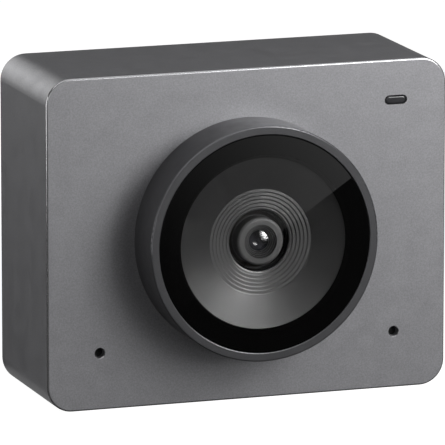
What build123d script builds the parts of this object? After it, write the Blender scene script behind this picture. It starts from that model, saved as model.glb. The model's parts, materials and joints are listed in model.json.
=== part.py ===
from build123d import *
from math import copysign, cos, radians, sqrt
import os

# A compact webcam: a metal shell with a flat rear cover, a round lens housing on its front,
# an autofocus camera module inside the housing, and the electronics behind it.
# X runs across the camera, Y from the lens towards the back, Z up from the base.
# All sizes are in millimetres.

# Body
body_width = 60.0
body_height = 48.0
body_depth = 22.0
body_corner_radius = 3.7
side_wall = 1.6
front_wall = 1.6
front_edge_radius = 0.3
back_edge_radius = 0.25
cavity_corner_radius = 2.1

# Rear cover and its screws
cover_thickness = 2.0
cover_recess = 0.3
cover_gap = 0.1
cover_edge_chamfer = 0.3
cover_post_radius = 2.2
cover_post_inset = 3.6
cover_screw_radius = 0.8
cover_screw_length = 5.0
vent_width = 1.2
vent_height = 10.0
vent_pitch = 2.4
vent_count = 9
head_recess = 0.1

# Lens housing, measured outwards from the optical axis
lens_projection = 7.5
housing_radius = 17.0
housing_edge_radius = 0.22
rim_width = 1.25
rim_edge_radius = 0.12
glass_ledge_width = 1.05
baffle_shoulder_width = 3.0
spigot_step = 1.8

# Cover glass and its printed black band
glass_recess = 0.1
glass_thickness = 1.2
glass_edge_chamfer = 0.08
mask_thickness = 0.1
window_radius = 12.35
mask_edge_margin = 0.3

# Light baffle: a shallow cone that ends in fine round steps
baffle_flange_thickness = 1.1
cone_overlap = 0.25
cone_depth = 1.13
step_outer_radius = 7.75
step_count = 6
step_drop = 0.103
step_slope_width = 0.16
aperture_radius = 4.5
aperture_lip = 0.45
aperture_bevel_width = 0.2
aperture_bevel_depth = 0.07
baffle_hollow_setback = 1.1
baffle_foot_setback = 0.2
seal_width = 1.0
seal_margin = 0.3

# Lens barrel and its glass
barrel_stand_out = 0.7
barrel_thread_radius = 3.25
barrel_head_step = 0.2
barrel_head_gap = 0.25
barrel_tail_setback = 0.3
barrel_edge_radius = 0.45
barrel_opening_radius = 2.41
barrel_trap_steps = 4
barrel_trap_depth = 0.9
barrel_lip_radius = 1.5
barrel_lip_thickness = 0.05
front_lens_radius = 1.9
lens_radius_growth = 0.28
lens_flange_width = 0.35
lens_spacer_thickness = 0.3
retainer_thickness = 0.35

# The glass elements from front to back: flange thickness, then how far each side bulges out
lens_elements = {
    "front_lens": (0.7, 0.36, 0.25),
    "second_lens": (0.5, -0.15, 0.2),
    "third_lens": (0.6, -0.1, 0.2),
    "rear_lens": (0.6, -0.1, -0.15),
}

# Autofocus actuator
carrier_wall = 0.73
carrier_length = 3.45
carrier_flange_thickness = 0.4
carrier_flange_setback = 0.15
coil_thickness = 0.5
coil_to_magnet_gap = 0.35
magnet_thickness = 0.9
magnet_length = 6.4
can_wall = 0.25
can_corner_radius = 0.6
can_opening_margin = 0.75
baffle_to_can_gap = 0.35
focus_clearance = 0.47
leaf_spring_thickness = 0.08
spring_ring_width = 0.45
spring_arm_width = 0.2
spring_arm_gap = 0.24
spring_arm_count = 4
spring_arm_sweep = 66.0
spring_ring_gap = 0.15
base_rim_height = 0.37
base_floor_thickness = 0.7
sensor_cavity_depth = 0.9

# Filter, sensor and sensor board
filter_width = 7.3
filter_height = 5.9
filter_thickness = 0.3
filter_ledge = 0.35
sensor_width = 8.4
sensor_height = 6.6
sensor_thickness = 0.7
sensor_cavity_margin = 0.3
sensor_board_thickness = 0.8
sensor_board_rise = 1.0
sensor_screw_radius = 0.5
sensor_screw_offset = 1.9
sensor_screw_edge = 1.6

# Lens bracket, behind the front wall
bracket_overlap = 2.3
bracket_window_gap = 0.15
housing_screw_radius = 0.8
housing_screw_grip = 3.1

# Flat cable from the sensor board to the main board
flex_width = 7.5
flex_thickness = 0.15
flex_straight = 3.5
flex_connector_width = 9.0
flex_connector_height = 3.0
flex_connector_thickness = 0.9
flex_connector_drop = 3.0

# Main board
board_post_height = 8.2
board_post_radius = 2.0
board_thickness = 1.2
board_side_gap = 3.4
board_top_gap = 1.9
board_boss_gap = 1.0
board_post_gap = 0.5
board_screw_inset = 3.0
board_screw_top_margin = 8.5
board_screw_bottom_margin = 9.0
board_screw_radius = 0.8
board_screw_length = 5.0

# Processor, thermal pad and heat sink
processor_size = 12.0
processor_thickness = 1.2
processor_rise = 4.0
thermal_pad_thickness = 1.0
heat_sink_width = 24.0
heat_sink_height = 16.0
heat_sink_base = 1.5
fin_thickness = 0.9
fin_end_gap = 0.3
heat_sink_foot_radius = 1.6
heat_sink_foot_inset = 2.2
heat_sink_screw_radius = 0.7
heat_sink_screw_grip = 1.6

# Chips and small components on the back of the main board
shield_width = 9.6
shield_height = 12.0
shield_rise = 1.8
shield_wall = 0.2
shield_gap = 0.7
memory_margin = 0.8
memory_thickness = 0.9
flash_width = 6.0
flash_height = 5.0
flash_thickness = 0.8
crystal_width = 3.2
crystal_height = 2.5
crystal_thickness = 0.7
chip_row_gap = 1.6
inductor_size = 3.6
inductor_thickness = 1.8
inductor_pitch = 4.8
inductor_count = 3
inductor_gap = 2.7
capacitor_length = 1.6
capacitor_width = 0.8
capacitor_pitch = 1.9
capacitor_count = 6
capacitor_gap = 2.2

# USB-C socket
usb_height = 12.0
usb_width = 8.94
usb_thickness = 3.16
usb_shell_wall = 0.3
usb_mouth_recess = 0.3
usb_plug_depth = 6.5
usb_tongue_width = 6.69
usb_tongue_thickness = 0.7
usb_tongue_setback = 0.5
usb_cutout_gap = 0.15
usb_recess_margin = 1.3
usb_recess_depth = 0.5

# Status light
status_side_margin = 7.6
status_top_margin = 5.9
status_length = 3.12
status_thickness = 1.12
status_edge_radius = 0.25
status_recess = 0.05
status_slot_gap = 0.11
status_slot_chamfer = 0.05
status_flange_margin = 0.6
status_flange_thickness = 1.0
status_led_length = 3.0
status_led_height = 1.4
status_led_thickness = 0.8
status_led_gap = 0.1

# Microphones behind two small holes
microphone_side_margin = 7.8
microphone_base_margin = 8.25
microphone_hole_radius = 0.73
microphone_hole_chamfer = 0.08
microphone_pocket_radius = 1.6
microphone_pocket_depth = 0.4
microphone_mesh_thickness = 0.1
microphone_seal_length = 1.3
microphone_seal_wall = 0.6
microphone_board_width = 5.0
microphone_board_height = 6.0
microphone_board_lift = 1.0
microphone_board_thickness = 0.6
microphone_port_radius = 0.4
microphone_width = 3.5
microphone_height = 2.65
microphone_thickness = 1.0
microphone_flex_width = 3.0
microphone_flex_thickness = 0.15
microphone_flex_height = 3.1
microphone_connector_width = 3.6
microphone_connector_height = 1.2
microphone_connector_thickness = 0.8

# Tripod socket in the base
tripod_thread_radius = 2.55
tripod_insert_wall = 1.65
tripod_insert_length = 6.0
tripod_boss_wall = 1.8
tripod_boss_roof = 1.0
tripod_mouth_chamfer = 0.4

# Screw heads
small_head_margin = 0.6
small_head_thickness = 0.8
tiny_head_margin = 0.5
tiny_head_thickness = 0.6
drive_share = 0.5
drive_depth = 0.4

# Clearances shared by many pieces
fit_gap = 0.05
thread_gap = 0.02
hole_gap = 0.1

# The body and the lens together are centred on the origin, front to back
front_y = lens_projection - (body_depth + lens_projection) / 2
axis_height = body_height / 2
half_width = body_width / 2
half_height = body_height / 2

# Depths, counted from the front face towards the back
cover_outer = body_depth - cover_recess
cover_inner = cover_outer - cover_thickness
rim_front = -lens_projection
glass_front = rim_front + glass_recess
glass_back = glass_front + glass_thickness
mask_back = glass_back + mask_thickness
baffle_front = mask_back + fit_gap
baffle_seat = baffle_front + baffle_flange_thickness
cone_end = baffle_front + cone_depth
aperture_depth = cone_end + step_count * step_drop
baffle_back = aperture_depth + aperture_lip
barrel_front = aperture_depth - barrel_stand_out
can_front = baffle_back + baffle_to_can_gap
clamp_front = can_front + can_wall
clamp_back = clamp_front + focus_clearance
carrier_front = clamp_back + leaf_spring_thickness
carrier_back = carrier_front + carrier_length
base_front = carrier_back + leaf_spring_thickness
floor_front = base_front + base_rim_height
floor_back = floor_front + base_floor_thickness
base_back = floor_back + sensor_cavity_depth
sensor_board_back = base_back + sensor_board_thickness
board_front = front_wall + board_post_height
board_back = board_front + board_thickness
processor_back = board_back + processor_thickness
pad_back = processor_back + thermal_pad_thickness
usb_mouth = cover_outer - usb_mouth_recess
usb_cavity_floor = usb_mouth - usb_plug_depth
fins_back = cover_inner - fin_end_gap
barrel_back = carrier_back - barrel_tail_setback
barrel_head_back = carrier_front - barrel_head_gap
status_led_front = board_front - status_led_thickness
status_guide_back = status_led_front - status_led_gap
pocket_floor = front_wall - microphone_pocket_depth
mesh_back = pocket_floor + microphone_mesh_thickness
seal_back = mesh_back + microphone_seal_length
microphone_board_back = seal_back + microphone_board_thickness
microphone_connector_back = microphone_board_back + microphone_connector_thickness
main_connector_front = board_front - microphone_connector_thickness

# Radii, counted from the optical axis
glass_seat_radius = housing_radius - rim_width
glass_radius = glass_seat_radius - fit_gap
mask_radius = glass_radius - mask_edge_margin
baffle_bore_radius = glass_seat_radius - glass_ledge_width
baffle_radius = baffle_bore_radius - fit_gap
housing_bore_radius = baffle_bore_radius - baffle_shoulder_width
spigot_radius = housing_radius - spigot_step
bracket_radius = spigot_radius + bracket_overlap
housing_screw_circle = (housing_bore_radius + spigot_radius) / 2
barrel_head_radius = barrel_thread_radius + barrel_head_step
carrier_radius = barrel_thread_radius + thread_gap + carrier_wall
coil_radius = carrier_radius + coil_thickness
magnet_inner = coil_radius + coil_to_magnet_gap
magnet_outer = magnet_inner + magnet_thickness
can_half = magnet_outer + can_wall
spring_ring_inner = barrel_head_radius + spring_ring_gap
spring_ring_outer = spring_ring_inner + spring_ring_width
spring_arm_inner = spring_ring_outer + spring_arm_gap
spring_arm_outer = spring_arm_inner + spring_arm_width
spring_frame_radius = spring_arm_outer + spring_arm_gap
pocket_piece_radius = microphone_pocket_radius - fit_gap

# Places on the face, counted from the optical axis
cover_post_x = half_width - cover_post_inset
cover_post_z = half_height - cover_post_inset
cover_posts = [(sx * cover_post_x, sz * cover_post_z) for sx in (-1, 1) for sz in (-1, 1)]
status_place = (half_width - status_side_margin, half_height - status_top_margin)
microphone_x = half_width - microphone_side_margin
microphone_z = microphone_base_margin - half_height
microphone_places = [(-microphone_x, microphone_z), (microphone_x, microphone_z)]
housing_screw_place = housing_screw_circle * cos(radians(45))
housing_screws_at = [(sx * housing_screw_place, sz * housing_screw_place) for sx in (-1, 1) for sz in (-1, 1)]
sensor_screw_x = can_half + sensor_screw_offset
sensor_screw_z = can_half - sensor_board_rise
sensor_screws_at = [(sx * sensor_screw_x, sz * sensor_screw_z) for sx in (-1, 1) for sz in (-1, 1)]

# Tripod boss and the main board above it
tripod_insert_radius = tripod_thread_radius + tripod_insert_wall
tripod_boss_radius = tripod_insert_radius + tripod_boss_wall
tripod_boss_height = tripod_insert_length + tripod_boss_roof
board_half_width = half_width - side_wall - board_side_gap
board_top = half_height - side_wall - board_top_gap
board_bottom = tripod_boss_height + board_boss_gap - half_height
board_height = board_top - board_bottom
board_centre = (board_top + board_bottom) / 2
board_screw_x = board_half_width - board_screw_inset
board_screw_top = board_top - board_screw_top_margin
board_screw_bottom = board_bottom + board_screw_bottom_margin
board_screws_at = [(sx * board_screw_x, z) for sx in (-1, 1) for z in (board_screw_bottom, board_screw_top)]
heat_sink_foot_x = heat_sink_width / 2 - heat_sink_foot_inset
heat_sink_feet = [(-heat_sink_foot_x, processor_rise), (heat_sink_foot_x, processor_rise)]
usb_place = (0, usb_height - half_height)

# The tripod socket is in the middle of the body's depth
tripod_plane = Plane(origin=(0, front_y + body_depth / 2, 0))


def face_plane(depth):
    """A plane at a depth behind the front face, centred on the optical axis.

    Its x runs to the right and its y up, and it faces the front: a positive extrusion
    comes towards the front, so each piece is drawn at its back and raised forwards.
    """
    return Plane(origin=(0, front_y + depth, axis_height), x_dir=(1, 0, 0), z_dir=(0, -1, 0))


# The plane of turned profiles: x is the depth and y is the distance from the optical axis
turning_plane = Plane(origin=(0, front_y, axis_height), x_dir=(0, 1, 0), z_dir=(1, 0, 0))
optical_axis = Axis((0, front_y, axis_height), (0, 1, 0))


def side_plane(x):
    """A plane square to X: its x runs towards the back and its y up from the optical axis."""
    return Plane(origin=(x, front_y, axis_height), x_dir=(0, 1, 0), z_dir=(1, 0, 0))


def turn(points):
    """Turn a closed outline of (depth, radius) points round the optical axis."""
    with BuildSketch(turning_plane) as outline:
        with BuildLine():
            Polyline(*points, close=True)
        make_face()
    revolve(outline.sketch, axis=optical_axis)


def raise_circles(places, radius, depths, mode=Mode.ADD):
    """Round posts, or holes, between two depths."""
    with BuildSketch(face_plane(max(depths))) as outline:
        with Locations(*places):
            Circle(radius)
    extrude(outline.sketch, amount=max(depths) - min(depths), mode=mode)


def raise_blocks(places, width, height, depths, mode=Mode.ADD):
    """Rectangular blocks, or pockets, between two depths."""
    with BuildSketch(face_plane(max(depths))) as outline:
        with Locations(*places):
            Rectangle(width, height)
    extrude(outline.sketch, amount=max(depths) - min(depths), mode=mode)


def raise_slots(places, length, thickness, depths, mode=Mode.ADD):
    """Blocks, or pockets, with round ends, whose length is measured end to end."""
    with BuildSketch(face_plane(max(depths))) as outline:
        with Locations(*places):
            SlotOverall(length, thickness)
    extrude(outline.sketch, amount=max(depths) - min(depths), mode=mode)


def add_screws(places, shank_end, under_head, head_end, shank_radius, head_margin):
    """Screws with a hexagonal drive; the order of the three depths says which way they point."""
    head_radius = shank_radius + head_margin
    drive_end = head_end + copysign(drive_depth, under_head - head_end)
    raise_circles(places, shank_radius, (shank_end, under_head))
    raise_circles(places, head_radius, (under_head, head_end))
    with BuildSketch(face_plane(max(head_end, drive_end))) as drive:
        with Locations(*places):
            RegularPolygon(head_radius * drive_share, 6)
    extrude(drive.sketch, amount=drive_depth, mode=Mode.SUBTRACT)


def bulge_middle(flange, bulge, radius):
    """The point of a round surface half way between its crest, on the axis, and its flange."""
    sphere_radius = (radius**2 + bulge**2) / (2 * abs(bulge))
    fall = sphere_radius - sqrt(sphere_radius**2 - (radius / 2) ** 2)
    return (flange + bulge - copysign(fall, bulge), radius / 2)


def turn_lens(front, back, radius, front_bulge, back_bulge):
    """A lens with a flat flange; a bulge stands out of its side, and is negative for a hollow."""
    clear_radius = radius - lens_flange_width
    with BuildSketch(turning_plane) as outline:
        with BuildLine():
            crest = (front - front_bulge, 0)
            tail = (back + back_bulge, 0)
            ThreePointArc(crest, bulge_middle(front, -front_bulge, clear_radius), (front, clear_radius))
            Polyline((front, clear_radius), (front, radius), (back, radius), (back, clear_radius))
            ThreePointArc((back, clear_radius), bulge_middle(back, back_bulge, clear_radius), tail)
            Line(tail, crest)
        make_face()
    revolve(outline.sketch, axis=optical_axis)


def raise_leaf_spring(depths):
    """A flat spring: an outer frame, an inner ring and curved arms that join the two."""
    bridge = spring_arm_gap + 2 * spring_arm_width
    with BuildSketch(face_plane(max(depths))) as outline:
        Rectangle(2 * magnet_outer, 2 * magnet_outer)
        Circle(spring_frame_radius, mode=Mode.SUBTRACT)
        Circle(spring_ring_outer)
        Circle(spring_ring_inner, mode=Mode.SUBTRACT)
        for index in range(spring_arm_count):
            start = index * 360 / spring_arm_count
            with BuildLine():
                outer_arc = CenterArc((0, 0), spring_arm_outer, start, spring_arm_sweep)
                inner_arc = CenterArc((0, 0), spring_arm_inner, start, spring_arm_sweep)
                Line(outer_arc @ 0, inner_arc @ 0)
                Line(outer_arc @ 1, inner_arc @ 1)
            make_face()
            with PolarLocations((spring_arm_outer + spring_frame_radius) / 2, 1, start_angle=start):
                Rectangle(bridge, spring_arm_width)
            end = start + spring_arm_sweep
            with PolarLocations((spring_ring_outer + spring_arm_inner) / 2, 1, start_angle=end):
                Rectangle(bridge, spring_arm_width)
    extrude(outline.sketch, amount=max(depths) - min(depths))


os.makedirs("parts", exist_ok=True)

# Front shell: one piece of metal, open at the back, with the posts that carry what is inside
with BuildPart() as front_shell:
    with BuildSketch(face_plane(body_depth)):
        RectangleRounded(body_width, body_height, body_corner_radius)
    extrude(amount=body_depth)
    fillet(front_shell.faces().sort_by(Axis.Y)[0].edges(), front_edge_radius)
    fillet(front_shell.faces().sort_by(Axis.Y)[-1].edges(), back_edge_radius)
    with BuildSketch(face_plane(body_depth)):
        RectangleRounded(body_width - 2 * side_wall, body_height - 2 * side_wall, cavity_corner_radius)
    extrude(amount=body_depth - front_wall, mode=Mode.SUBTRACT)
    raise_circles(cover_posts, cover_post_radius, (front_wall, cover_inner))
    raise_circles(board_screws_at, board_post_radius, (front_wall, board_front))
    # Boss round the tripod insert, on the base
    with BuildSketch(tripod_plane.offset(side_wall)):
        Circle(tripod_boss_radius)
    extrude(amount=tripod_boss_height - side_wall)
    # Opening for the lens housing, and threaded holes for the cover screws and the board screws
    raise_circles([(0, 0)], spigot_radius + fit_gap, (0, front_wall), Mode.SUBTRACT)
    cover_hole = (cover_inner - cover_screw_length, cover_inner)
    raise_circles(cover_posts, cover_screw_radius + thread_gap, cover_hole, Mode.SUBTRACT)
    board_hole = (board_front - board_screw_length, board_front)
    raise_circles(board_screws_at, board_screw_radius + thread_gap, board_hole, Mode.SUBTRACT)
    # Status light slot and microphone holes, with fine bevels on the outside
    slot_length = status_length + 2 * status_slot_gap
    slot_thickness = status_thickness + 2 * status_slot_gap
    raise_slots([status_place], slot_length, slot_thickness, (0, front_wall), Mode.SUBTRACT)
    raise_circles(microphone_places, microphone_hole_radius, (0, front_wall), Mode.SUBTRACT)
    raise_circles(microphone_places, microphone_pocket_radius, (pocket_floor, front_wall), Mode.SUBTRACT)
    face_holes = front_shell.faces().filter_by(Axis.Y).sort_by(Axis.Y)[0].inner_wires()
    microphone_rims = face_holes.sort_by(SortBy.LENGTH)[0:2]
    slot_rim = face_holes.sort_by(SortBy.LENGTH)[2:3]
    chamfer(microphone_rims.edges(), microphone_hole_chamfer)
    chamfer(slot_rim.edges(), status_slot_chamfer)
    # Hole for the tripod insert, up to the roof of its boss
    with BuildSketch(tripod_plane):
        Circle(tripod_insert_radius + thread_gap)
    extrude(amount=tripod_insert_length, mode=Mode.SUBTRACT)
front_shell.part.label = "front_shell"
export_step(front_shell.part, "parts/front_shell.step")

# Rear cover: a plate inside the shell's back edge, with vents over the heat sink
cover_head_radius = cover_screw_radius + small_head_margin
cover_head_seat = cover_outer - small_head_thickness - head_recess
with BuildPart() as rear_cover:
    with BuildSketch(face_plane(cover_outer)):
        cover_margin = 2 * (side_wall + cover_gap)
        cover_corner_radius = cavity_corner_radius - cover_gap
        RectangleRounded(body_width - cover_margin, body_height - cover_margin, cover_corner_radius)
    extrude(amount=cover_thickness)
    chamfer(rear_cover.faces().sort_by(Axis.Y)[-1].edges(), cover_edge_chamfer)
    cover_depths = (cover_inner, cover_outer)
    raise_circles(cover_posts, cover_screw_radius + hole_gap, cover_depths, Mode.SUBTRACT)
    raise_circles(cover_posts, cover_head_radius + hole_gap, (cover_head_seat, cover_outer), Mode.SUBTRACT)
    with BuildSketch(face_plane(cover_outer)):
        with Locations((0, processor_rise)):
            with GridLocations(vent_pitch, 0, vent_count, 1):
                SlotOverall(vent_height, vent_width, rotation=90)
    extrude(amount=cover_thickness, mode=Mode.SUBTRACT)
    cutout = 2 * usb_cutout_gap
    raise_slots([usb_place], usb_width + cutout, usb_thickness + cutout, cover_depths, Mode.SUBTRACT)
    dish = 2 * usb_recess_margin
    dish_depths = (cover_outer - usb_recess_depth, cover_outer)
    raise_slots([usb_place], usb_width + dish, usb_thickness + dish, dish_depths, Mode.SUBTRACT)
rear_cover.part.label = "rear_cover"
export_step(rear_cover.part, "parts/rear_cover.step")

# Rear cover screws
with BuildPart() as rear_cover_screws:
    shank_end = cover_head_seat - cover_screw_length
    head_end = cover_head_seat + small_head_thickness
    add_screws(cover_posts, shank_end, cover_head_seat, head_end, cover_screw_radius, small_head_margin)
rear_cover_screws.part.label = "rear_cover_screws"
export_step(rear_cover_screws.part, "parts/rear_cover_screws.step")

# Lens housing: a turned ring with a seat for the glass, a shoulder for the baffle and a spigot
with BuildPart() as lens_housing:
    turn([
        (rim_front, glass_seat_radius),
        (rim_front, housing_radius),
        (0, housing_radius),
        (0, spigot_radius),
        (front_wall, spigot_radius),
        (front_wall, housing_bore_radius),
        (baffle_seat, housing_bore_radius),
        (baffle_seat, baffle_bore_radius),
        (mask_back, baffle_bore_radius),
        (mask_back, glass_seat_radius),
    ])
    rim_edges = lens_housing.edges().filter_by(GeomType.CIRCLE).group_by(Axis.Y)[0]
    fillet(rim_edges.sort_by(SortBy.RADIUS)[-1], housing_edge_radius)
    rim_edges = lens_housing.edges().filter_by(GeomType.CIRCLE).group_by(Axis.Y)[0]
    fillet(rim_edges.sort_by(SortBy.RADIUS)[0], rim_edge_radius)
    screw_hole = (front_wall - housing_screw_grip - head_recess, front_wall)
    raise_circles(housing_screws_at, housing_screw_radius + thread_gap, screw_hole, Mode.SUBTRACT)
lens_housing.part.label = "lens_housing"
export_step(lens_housing.part, "parts/lens_housing.step")

# Cover glass
with BuildPart() as cover_glass:
    raise_circles([(0, 0)], glass_radius, (glass_front, glass_back))
    chamfer(cover_glass.faces().sort_by(Axis.Y)[0].edges(), glass_edge_chamfer)
cover_glass.part.label = "cover_glass"
export_step(cover_glass.part, "parts/cover_glass.step")

# Glass mask: the black band that also glues the glass to its ledge
with BuildPart() as glass_mask:
    raise_circles([(0, 0)], mask_radius, (glass_back, mask_back))
    raise_circles([(0, 0)], window_radius, (glass_back, mask_back), Mode.SUBTRACT)
glass_mask.part.label = "glass_mask"
export_step(glass_mask.part, "parts/glass_mask.step")

# Light baffle: the cone and its steps, drawn from the rim inwards and back along its rear side
step_width = (step_outer_radius - aperture_radius) / step_count
step_corners = []
for step in range(step_count):
    step_depth = cone_end + step * step_drop
    step_radius = step_outer_radius - step * step_width
    step_corners.append((step_depth, step_radius))
    step_corners.append((step_depth + step_drop, step_radius - step_slope_width))
with BuildPart() as light_baffle:
    turn([
        (baffle_front, baffle_radius),
        (baffle_front, window_radius + cone_overlap),
        *step_corners,
        (aperture_depth, aperture_radius + aperture_bevel_width),
        (aperture_depth + aperture_bevel_depth, aperture_radius),
        (baffle_back, aperture_radius),
        (baffle_back, housing_bore_radius - baffle_hollow_setback),
        (baffle_seat, housing_bore_radius - baffle_foot_setback),
        (baffle_seat, baffle_radius),
    ])
light_baffle.part.label = "light_baffle"
export_step(light_baffle.part, "parts/light_baffle.step")

# Dust seal: a foam ring between the baffle and the actuator
with BuildPart() as dust_seal:
    seal_inner = aperture_radius + seal_margin
    raise_circles([(0, 0)], seal_inner + seal_width, (baffle_back, can_front))
    raise_circles([(0, 0)], seal_inner, (baffle_back, can_front), Mode.SUBTRACT)
dust_seal.part.label = "dust_seal"
export_step(dust_seal.part, "parts/dust_seal.step")

# Lens elements and the depths that they sit at, each bore wider than the one before
lip_front = barrel_front + barrel_trap_depth
lip_back = lip_front + barrel_lip_thickness
lens_front = lip_back + fit_gap
lens_radius = front_lens_radius
bore_corners = [(lip_back, lens_radius + thread_gap)]
spacer_rings = []
for name, (thickness, front_bulge, back_bulge) in lens_elements.items():
    lens_back = lens_front + thickness
    with BuildPart() as lens_element:
        turn_lens(lens_front, lens_back, lens_radius, front_bulge, back_bulge)
    lens_element.part.label = name
    export_step(lens_element.part, f"parts/{name}.step")
    spacer_rings.append((lens_back, lens_radius + lens_radius_growth, lens_radius - lens_flange_width))
    bore_corners.append((lens_back, lens_radius + thread_gap))
    lens_radius = lens_radius + lens_radius_growth
    bore_corners.append((lens_back, lens_radius + thread_gap))
    lens_front = lens_back + lens_spacer_thickness

# Lens spacers between the elements
with BuildPart() as lens_spacers:
    for depth, outer, inner in spacer_rings[:-1]:
        raise_circles([(0, 0)], outer, (depth, depth + lens_spacer_thickness))
        raise_circles([(0, 0)], inner, (depth, depth + lens_spacer_thickness), Mode.SUBTRACT)
lens_spacers.part.label = "lens_spacers"
export_step(lens_spacers.part, "parts/lens_spacers.step")

# Lens retainer: the ring that holds the elements in from behind
with BuildPart() as lens_retainer:
    depth, outer, inner = spacer_rings[-1]
    raise_circles([(0, 0)], outer - lens_radius_growth, (depth, depth + retainer_thickness))
    raise_circles([(0, 0)], inner, (depth, depth + retainer_thickness), Mode.SUBTRACT)
lens_retainer.part.label = "lens_retainer"
export_step(lens_retainer.part, "parts/lens_retainer.step")

# Lens barrel: fine steps lead in to the front element, and stepped bores hold the rest
trap_drop = barrel_trap_depth / barrel_trap_steps
trap_width = (barrel_opening_radius - barrel_lip_radius) / barrel_trap_steps
trap_corners = [(barrel_front, barrel_opening_radius)]
for step in range(barrel_trap_steps):
    tread_depth = barrel_front + (step + 1) * trap_drop
    trap_corners.append((tread_depth, barrel_opening_radius - step * trap_width))
    trap_corners.append((tread_depth, barrel_opening_radius - (step + 1) * trap_width))
with BuildPart() as lens_barrel:
    turn([
        (barrel_front, barrel_head_radius),
        *trap_corners,
        (lip_back, barrel_lip_radius),
        *bore_corners[:-1],
        (barrel_back, bore_corners[-2][1]),
        (barrel_back, barrel_thread_radius),
        (barrel_head_back, barrel_thread_radius),
        (barrel_head_back, barrel_head_radius),
    ])
    front_edges = lens_barrel.edges().filter_by(GeomType.CIRCLE).group_by(Axis.Y)[0]
    fillet(front_edges.sort_by(SortBy.RADIUS)[-1], barrel_edge_radius)
lens_barrel.part.label = "lens_barrel"
export_step(lens_barrel.part, "parts/lens_barrel.step")

# Lens carrier: the bobbin that slides along the optical axis
with BuildPart() as lens_carrier:
    flange_radius = coil_radius - carrier_flange_setback
    front_flange_back = carrier_front + carrier_flange_thickness
    back_flange_front = carrier_back - carrier_flange_thickness
    raise_circles([(0, 0)], carrier_radius, (carrier_front, carrier_back))
    raise_circles([(0, 0)], flange_radius, (carrier_front, front_flange_back))
    raise_circles([(0, 0)], flange_radius, (back_flange_front, carrier_back))
    carrier_bore = barrel_thread_radius + thread_gap
    raise_circles([(0, 0)], carrier_bore, (carrier_front, carrier_back), Mode.SUBTRACT)
lens_carrier.part.label = "lens_carrier"
export_step(lens_carrier.part, "parts/lens_carrier.step")

# Focus coil, wound on the carrier
with BuildPart() as focus_coil:
    raise_circles([(0, 0)], coil_radius, (front_flange_back, back_flange_front))
    raise_circles([(0, 0)], carrier_radius, (front_flange_back, back_flange_front), Mode.SUBTRACT)
focus_coil.part.label = "focus_coil"
export_step(focus_coil.part, "parts/focus_coil.step")

# Actuator magnets, one bar on each side of the coil
with BuildPart() as actuator_magnets:
    with BuildSketch(face_plane(carrier_back)):
        with PolarLocations((magnet_inner + magnet_outer) / 2, 4):
            Rectangle(magnet_thickness, magnet_length)
    extrude(amount=carrier_length)
actuator_magnets.part.label = "actuator_magnets"
export_step(actuator_magnets.part, "parts/actuator_magnets.step")

# Leaf springs in front of the carrier and behind it
with BuildPart() as front_leaf_spring:
    raise_leaf_spring((clamp_back, carrier_front))
front_leaf_spring.part.label = "front_leaf_spring"
export_step(front_leaf_spring.part, "parts/front_leaf_spring.step")

with BuildPart() as rear_leaf_spring:
    raise_leaf_spring((carrier_back, base_front))
rear_leaf_spring.part.label = "rear_leaf_spring"
export_step(rear_leaf_spring.part, "parts/rear_leaf_spring.step")

# Spring clamp: holds the front spring's frame against the magnets
with BuildPart() as spring_clamp:
    raise_blocks([(0, 0)], 2 * magnet_outer, 2 * magnet_outer, (clamp_front, clamp_back))
    raise_circles([(0, 0)], spring_frame_radius, (clamp_front, clamp_back), Mode.SUBTRACT)
spring_clamp.part.label = "spring_clamp"
export_step(spring_clamp.part, "parts/spring_clamp.step")

# Actuator can: a steel cap over the magnets, open at the back
with BuildPart() as actuator_can:
    with BuildSketch(face_plane(floor_front)):
        RectangleRounded(2 * can_half, 2 * can_half, can_corner_radius)
    extrude(amount=floor_front - can_front)
    raise_blocks([(0, 0)], 2 * magnet_outer, 2 * magnet_outer, (clamp_front, floor_front), Mode.SUBTRACT)
    can_opening = barrel_head_radius + can_opening_margin
    raise_circles([(0, 0)], can_opening, (can_front, clamp_front), Mode.SUBTRACT)
actuator_can.part.label = "actuator_can"
export_step(actuator_can.part, "parts/actuator_can.step")

# Actuator base: carries the rear spring and the filter, with a cavity for the sensor
with BuildPart() as actuator_base:
    with BuildSketch(face_plane(base_back)):
        RectangleRounded(2 * can_half, 2 * can_half, can_corner_radius)
    extrude(amount=base_back - floor_front)
    raise_blocks([(0, 0)], 2 * magnet_outer, 2 * magnet_outer, (base_front, floor_front))
    raise_circles([(0, 0)], spring_frame_radius, (base_front, floor_front), Mode.SUBTRACT)
    filter_pocket = (floor_front, floor_front + filter_thickness)
    pocket_margin = 2 * fit_gap
    pocket_width = filter_width + pocket_margin
    pocket_height = filter_height + pocket_margin
    raise_blocks([(0, 0)], pocket_width, pocket_height, filter_pocket, Mode.SUBTRACT)
    window_width = filter_width - 2 * filter_ledge
    window_height = filter_height - 2 * filter_ledge
    raise_blocks([(0, 0)], window_width, window_height, (floor_front, base_back), Mode.SUBTRACT)
    cavity_width = sensor_width + 2 * sensor_cavity_margin
    cavity_height = sensor_height + 2 * sensor_cavity_margin
    raise_blocks([(0, 0)], cavity_width, cavity_height, (floor_back, base_back), Mode.SUBTRACT)
actuator_base.part.label = "actuator_base"
export_step(actuator_base.part, "parts/actuator_base.step")

# Infrared filter
with BuildPart() as infrared_filter:
    raise_blocks([(0, 0)], filter_width, filter_height, filter_pocket)
infrared_filter.part.label = "infrared_filter"
export_step(infrared_filter.part, "parts/infrared_filter.step")

# Image sensor
with BuildPart() as image_sensor:
    raise_blocks([(0, 0)], sensor_width, sensor_height, (base_back - sensor_thickness, base_back))
image_sensor.part.label = "image_sensor"
export_step(image_sensor.part, "parts/image_sensor.step")

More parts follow.
